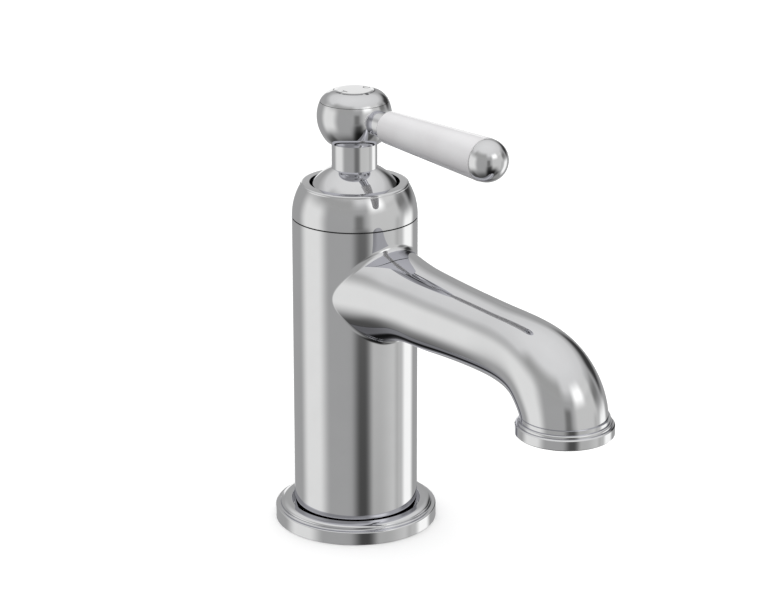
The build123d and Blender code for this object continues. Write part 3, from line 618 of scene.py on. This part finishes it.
FRAME_SIDE = math.radians(80)   # rectangle round the spout's root: half width round the column
FRAME_LOW_Z = 62.0              # its lower edge; the seam is its upper one
FRAME_ACROSS = 96
FRAME_UP = 48
FILLET_ROWS = 11
TUBE_ROWS = 171
PATCH_ROWS = 15
BACK_COLUMNS = 121
FOOT_ROWS = 9
NEAR_ROOT = (3.0, 45.0)         # stretches of the centreline that the spout's two ends lie in
NEAR_OUTLET = 72.0


def smooth_through(knots, values):
    """Natural cubic curve through the values, as a function of the knots' measure."""
    count = len(knots)
    gaps = np.diff(knots)
    rates = np.diff(values) / gaps
    system = np.eye(count)
    bend = np.zeros(count)
    for i in range(1, count - 1):
        system[i, i - 1:i + 2] = gaps[i - 1], 2 * (gaps[i - 1] + gaps[i]), gaps[i]
        bend[i] = 6 * (rates[i] - rates[i - 1])
    second = np.linalg.solve(system, bend)

    def value(t):
        i = np.clip(np.searchsorted(knots, t) - 1, 0, count - 2)
        gap = gaps[i]
        left = (knots[i + 1] - t) / gap
        right = 1 - left
        sag = ((left ** 3 - left) * second[i] + (right ** 3 - right) * second[i + 1]) * gap ** 2 / 6
        return left * values[i] + right * values[i + 1] + sag
    return value


class SpoutForm:
    """Surface of the spout; t runs along its centreline and v round it, 0 at +X and a quarter turn on top."""

    def __init__(self):
        table = np.array(STATIONS)
        steps = np.hypot(np.diff(table[:, 0]), np.diff(table[:, 1]))
        self.knots = np.concatenate([[0], np.cumsum(steps)])
        self.parts = [smooth_through(self.knots, table[:, column]) for column in range(5)]

    def point(self, t, v):
        out, z, width, height, slope = (part(t) for part in self.parts)
        slope = np.radians(slope)
        return np.stack([
            width * np.cos(v),
            -out - height * np.sin(v) * np.sin(slope),
            z + height * np.sin(v) * np.cos(slope),
        ], axis=-1)

    def normal(self, t, v):
        step = 1e-3
        along = self.point(t + step, v) - self.point(t - step, v)
        around = self.point(t, v + step) - self.point(t, v - step)
        across = np.cross(around, along)
        return across / np.linalg.norm(across, axis=-1, keepdims=True)

    def clear_of_column(self, t, v):
        """Distance from the column to a fillet's ball that lies against the spout."""
        place = self.point(t, v) + SPOUT_FILLET * self.normal(t, v)
        return np.hypot(place[..., 0], place[..., 1]) - BODY_R - SPOUT_FILLET

    def below_outlet(self, t, v):
        return OUTLET_NECK_Z - self.point(t, v)[..., 2]

    def where(self, height_of, v, low, high):
        """t at which height_of(t, v) passes from negative to positive between low and high."""
        low = np.full(len(v), low)
        high = np.full(len(v), high)
        halvings = 48
        for _ in range(halvings):
            middle = (low + high) / 2
            inside = height_of(middle, v) < 0
            low = np.where(inside, middle, low)
            high = np.where(inside, high, middle)
        return (low + high) / 2


def on_column(turns, z):
    """Points and normals on the column, turns from -Y towards +X."""
    normals = np.stack([np.sin(turns), -np.cos(turns), np.zeros_like(turns)], axis=-1)
    points = normals * BODY_R
    points[..., 2] = z
    return points, normals


def root_frame():
    """A rectangle of points on the column round the spout's root, with the spout's angle at each."""
    front = np.linspace(-FRAME_SIDE, FRAME_SIDE, FRAME_ACROSS + 1)
    levels = np.linspace(FRAME_LOW_Z, SEAM_Z, FRAME_UP + 1)
    turns = np.concatenate([
        np.full(FRAME_UP, FRAME_SIDE), front[::-1][:-1], np.full(FRAME_UP, -FRAME_SIDE), front[:-1],
    ])
    z = np.concatenate([
        levels[:-1], np.full(FRAME_ACROSS, SEAM_Z), levels[::-1][:-1], np.full(FRAME_ACROSS, FRAME_LOW_Z),
    ])
    middle_z = (FRAME_LOW_Z + SEAM_Z) / 2
    angles = np.arctan2((z - middle_z) / (SEAM_Z - middle_z), turns / FRAME_SIDE)
    return front, levels, turns, z, angles


def root_fillet(form, start, v):
    """Rows of a rolling ball's fillet from the column to the spout, and their normals."""
    centre = form.point(start, v) + SPOUT_FILLET * form.normal(start, v)
    to_spout = -form.normal(start, v)
    to_column = -centre * [1, 1, 0]
    to_column /= np.linalg.norm(to_column, axis=-1, keepdims=True)
    sweep = np.arccos(np.clip((to_spout * to_column).sum(axis=-1), -1, 1))
    rows = []
    leans = []
    for share in np.linspace(0, 1, FILLET_ROWS):
        first = np.sin((1 - share) * sweep) / np.sin(sweep)
        second = np.sin(share * sweep) / np.sin(sweep)
        lean = to_column * first[:, None] + to_spout * second[:, None]
        rows.append(centre + SPOUT_FILLET * lean)
        leans.append(-lean)
    return np.stack(rows), np.stack(leans)


def body_casting():
    """Column and spout in one skin, with the chamber, the outlet and the foot."""
    skin = Skin()
    form = SpoutForm()
    front, levels, frame_turns, frame_z, v = root_frame()
    start = form.where(form.clear_of_column, v, *NEAR_ROOT)
    finish = form.where(form.below_outlet, v, NEAR_OUTLET, form.knots[-1])
    fillet, leans = root_fillet(form, start, v)
    skin.grid(fillet, leans)

    share = np.linspace(0, 1, TUBE_ROWS)[:, None]
    t = start + (finish - start) * share
    round_v = np.broadcast_to(v, t.shape)
    tube = form.point(t, round_v)
    skin.grid(tube, form.normal(t, round_v))

    hole_turns = np.arctan2(fillet[0][:, 0], -fillet[0][:, 1])
    hole_z = fillet[0][:, 2]
    share = np.linspace(0, 1, PATCH_ROWS)[:, None]
    patch_turns = hole_turns + (frame_turns - hole_turns) * share
    skin.grid(*on_column(patch_turns, hole_z + (frame_z - hole_z) * share))
    back = np.linspace(FRAME_SIDE, 2 * math.pi - FRAME_SIDE, BACK_COLUMNS)
    skin.grid(*on_column(*np.meshgrid(back, levels)), closed=False)
    around = np.concatenate([front[:-1], back[:-1]])
    skin.grid(*on_column(*np.meshgrid(around, np.linspace(0, FRAME_LOW_Z, FOOT_ROWS))))

    chamber = straight(
        (BODY_R, SEAM_Z), (SPIGOT_R, SEAM_Z), (SPIGOT_R, SPIGOT_Z), (NUT_R, SPIGOT_Z), (NUT_R, SHOULDER_Z),
        (SEAT_R, SHOULDER_Z), (SEAT_R, SEAT_Z), (0, SEAT_Z),
    )
    skin.lathe(chamber, around, upright())
    outlet_rim(skin, tube[-1])
    underside(skin, around)
    skin.build("body_casting_skin", ["body_casting"], "faucet_body", "chrome")


def outlet_rim(skin, end):
    """Neck, bead, face and threaded bore under the spout's end, from the tube's last row."""
    turns = np.arctan2(end[:, 0], -(end[:, 1] + SPOUT_REACH))
    place = upright(0, -SPOUT_REACH)
    neck = place(OUTLET_NECK_R, OUTLET_NECK_Z, turns, True)
    ledge = np.stack([end, neck])
    skin.grid(ledge, np.broadcast_to(np.array([0.0, 0.0, 1.0]), ledge.shape))
    bead_round = (OUTLET_BEAD_Z - OUTLET_FACE_Z) / 2
    outline = straight(
        (OUTLET_BORE_R, OUTLET_FACE_Z), (OUTLET_BEAD_R, OUTLET_FACE_Z),
        (OUTLET_BEAD_R, OUTLET_BEAD_Z - bead_round),
    )
    outline += curve(OUTLET_BEAD_R - bead_round, OUTLET_BEAD_Z - bead_round, bead_round, 0, 90)
    outline += straight(
        (OUTLET_BEAD_R - bead_round, OUTLET_BEAD_Z), (OUTLET_NECK_R, OUTLET_BEAD_Z),
        (OUTLET_NECK_R, OUTLET_NECK_Z),
    )
    outline += straight((0, OUTLET_BORE_Z), (OUTLET_BORE_R, OUTLET_BORE_Z))
    outline += straight((OUTLET_BORE_R, OUTLET_BORE_Z), (OUTLET_BORE_R, OUTLET_FACE_Z))
    skin.lathe(outline, turns, place)


def underside(skin, around):
    """Flat foot with the two threaded inlets and the threaded stud hole."""
    down = (0.0, 0.0, -1.0)
    loops = [upright()(BODY_R, 0.0, around, True)]
    for x, y, radius, depth, bore in THREADS:
        turns = full_turn(64)
        place = upright(x, y)
        ridges = [(radius + THREAD_D, 0.0)]
        loops.append(place(radius + THREAD_D, 0.0, turns, True))
        for ridge in range(int(depth / THREAD_PITCH)):
            z = ridge * THREAD_PITCH
            ridges += [(radius, z + THREAD_PITCH / 2), (radius + THREAD_D, z + THREAD_PITCH)]
        if bore:
            ridges += [(bore, ridges[-1][1]), (bore, ridges[-1][1] + INLET_BORE_L)]
        ridges.append((0.0, ridges[-1][1]))
        skin.lathe(straight(*reversed(ridges)), turns, place)
    corners = np.concatenate(loops)
    for triangle in tessellate_polygon([[Vector(point) for point in loop] for loop in loops]):
        skin.face([(corners[index], down) for index in triangle])


# ---- studio ----

# Brightness of the room behind the panels, by elevation in degrees.
ROOM = [
    (-90, 0.03), (-70, 0.085), (-62, 0.13), (-54, 0.21), (-46, 0.29), (-36, 0.34), (22, 0.35), (30, 0.46),
    (38, 0.62), (60, 0.68), (90, 0.71),
]
ROOM_BLUE = 1.012   # the room is a trace bluer than the panels
# Softboxes, walls and flags, each over the ones before: degrees round from the camera's own side,
# half width, elevation, half height, softness of the edges, brightness.
PANELS = {
    "flag over the left front": (-42, 42, 33, 14, 12, 0.34),
    "left softbox": (-84, 25, -6, 27, 13, 0.745),
    "low left flag": (-116, 28, -68, 26, 12, 0.07),
    "low right bounce": (112, 24, -58, 14, 10, 0.27),
    "right wall": (61, 34, -6, 28, 8, 0.55),
    "wall's fold": (85, 5, -16, 14, 6, 0.43),
    "upper right wall": (74, 22, 30, 9, 8, 0.62),
    "window": (46, 15, 30, 10, 9, 1.15),
    "key strip": (115, 15, -24, 19, 8, 0.97),
    "right flag's fold": (104, 12, 13, 8, 7, 0.19),
    "right flag": (143, 17, 10, 12, 7, 0.04),
    "upper centre flag": (9, 8, 0, 14, 6, 0.16),
    "centre flag": (14, 13, -50, 36, 10, 0.08),
    "low black flag": (31, 31, -58, 29, 18, 0.01),
    "low right flag": (73, 11, -52, 9, 7, 0.08),
    "back panel": (-174, 10, -4, 19.4, 2, 0.95),
}


def calculate(tree, operation, first, *rest):
    """Math node; each input is a socket or a number."""
    node = add(tree, "ShaderNodeMath", operation=operation)
    for index, value in enumerate((first, *rest)):
        if isinstance(value, (int, float)):
            node.inputs[index].default_value = value
        else:
            tree.links.new(value, node.inputs[index])
    return node.outputs[0]


def near(tree, distance, half, soft):
    """1 inside a band and 0 outside, with soft edges; distance from the middle is in radians."""
    node = add(tree, "ShaderNodeMapRange", interpolation_type="SMOOTHSTEP")
    node.inputs["From Min"].default_value = math.radians(half + soft)
    node.inputs["From Max"].default_value = math.radians(half - soft)
    tree.links.new(calculate(tree, "ABSOLUTE", distance), node.inputs["Value"])
    return node.outputs["Result"]


def overlay(tree, below, cover, colour, blend_type="MIX"):
    """One colour laid over another; cover says where."""
    node = add(tree, "ShaderNodeMix", data_type="RGBA", blend_type=blend_type)
    node.inputs[7].default_value = (*colour, 1)
    tree.links.new(cover, node.inputs[0])
    tree.links.new(below, node.inputs[6])
    return node.outputs[2]


def mirrored_room(tree, direction):
    """Colour of the room in each direction: its brightness by elevation, with the panels over it."""
    forward = calculate(tree, "MULTIPLY", direction.outputs["Y"], -1.0)
    around = calculate(tree, "ARCTAN2", direction.outputs["X"], forward)
    height = calculate(tree, "ARCSINE", direction.outputs["Z"])

    share = add(tree, "ShaderNodeMapRange")
    share.inputs["From Min"].default_value = -math.pi / 2
    share.inputs["From Max"].default_value = math.pi / 2
    tree.links.new(height, share.inputs["Value"])
    room = add(tree, "ShaderNodeValToRGB")
    stops = room.color_ramp.elements
    while len(stops) < len(ROOM):
        stops.new(0.5)
    for stop, (degrees, bright) in zip(stops, ROOM):
        stop.position = (degrees + 90) / 180
        stop.color = (bright, bright, bright * ROOM_BLUE, 1)
    tree.links.new(share.outputs["Result"], room.inputs["Fac"])
    seen = room.outputs["Color"]

    for azimuth, half_width, elevation, half_height, soft, bright in PANELS.values():
        sideways = calculate(tree, "SUBTRACT", around, math.radians(azimuth))
        sideways = calculate(tree, "WRAP", sideways, math.pi, -math.pi)
        upwards = calculate(tree, "SUBTRACT", height, math.radians(elevation))
        beside = near(tree, sideways, half_width, soft)
        cover = calculate(tree, "MULTIPLY", beside, near(tree, upwards, half_height, soft))
        seen = overlay(tree, seen, cover, (bright, bright, bright))
    return seen


def background(tree):
    node = add(tree, "ShaderNodeBackground")
    node.inputs["Color"].default_value = (1, 1, 1, 1)
    return node


def either(tree, second_if, first, second):
    """The second shader where the factor is 1, else the first."""
    node = add(tree, "ShaderNodeMixShader")
    tree.links.new(second_if, node.inputs["Fac"])
    tree.links.new(first.outputs[0], node.inputs[1])
    tree.links.new(second.outputs[0], node.inputs[2])
    return node


def studio_world():
    """White room to the eye; softboxes and flags in reflections; light from above on matt surfaces."""
    world = bpy.data.worlds.new("studio")
    bpy.context.scene.world = world
    world.use_nodes = True
    tree = world.node_tree
    tree.nodes.clear()
    place = add(tree, "ShaderNodeTexCoord")
    turn = add(tree, "ShaderNodeMapping")
    turn.inputs["Rotation"].default_value = (0, 0, math.radians(-CAMERA_AZIMUTH))
    split = add(tree, "ShaderNodeSeparateXYZ")
    tree.links.new(place.outputs["Generated"], turn.inputs["Vector"])
    tree.links.new(turn.outputs["Vector"], split.inputs["Vector"])
    path = add(tree, "ShaderNodeLightPath")

    again = calculate(tree, "GREATER_THAN", path.outputs["Glossy Depth"], 1.5)
    seen = overlay(tree, mirrored_room(tree, split), again, SEEN_TWICE, "MULTIPLY")
    mirror = background(tree)
    tree.links.new(seen, mirror.inputs["Color"])
    soft_light = background(tree)
    strength = ramp(tree, split.outputs["Z"], LIGHT_BELOW, LIGHT_ABOVE, -0.5, 0.6)
    tree.links.new(strength, soft_light.inputs["Strength"])
    direct = either(tree, path.outputs["Is Camera Ray"], soft_light, background(tree))
    world_light = either(tree, path.outputs["Is Glossy Ray"], direct, mirror)
    out = add(tree, "ShaderNodeOutputWorld")
    tree.links.new(world_light.outputs[0], out.inputs["Surface"])


def floor():
    """Plain pale floor. Mirrors don't see it, so the chrome shows the studio's panels."""
    bpy.ops.mesh.primitive_plane_add(size=8.0, location=(0, 0, -0.0002))
    ground = bpy.context.object
    ground.name = "floor"
    material, tree, shader = new_material("pale_floor")
    pale = mix(tree, noise(tree, 3.0), (0.95, 0.95, 0.95), (0.97, 0.97, 0.97))
    tree.links.new(pale, shader.inputs["Base Color"])
    shader.inputs["Roughness"].default_value = 0.9
    ground.data.materials.append(material)
    ground.visible_glossy = False
    ground.visible_diffuse = False


def camera():
    azimuth = math.radians(CAMERA_AZIMUTH)
    elevation = math.radians(CAMERA_ELEVATION)
    back = Vector((
        math.sin(azimuth) * math.cos(elevation),
        -math.cos(azimuth) * math.cos(elevation),
        math.sin(elevation),
    ))
    data = bpy.data.cameras.new("camera")
    data.lens = LENS_MM
    data.sensor_width = SENSOR_MM
    eye = bpy.data.objects.new("camera", data)
    bpy.context.scene.collection.objects.link(eye)
    eye.location = CAMERA_AIM + back * CAMERA_DISTANCE
    eye.rotation_euler = (-back).to_track_quat("-Z", "Y").to_euler()
    bpy.context.scene.camera = eye


MATERIALS = dress()
for make in (
    base_flange, collar, dome_shroud, neck_sleeve, handle_ball, lever_boss, ceramic_lever, lever_end_cap,
    aerator_ring, body_casting,
):
    make()
studio_world()
floor()
camera()
bpy.context.scene.view_settings.view_transform = "Standard"
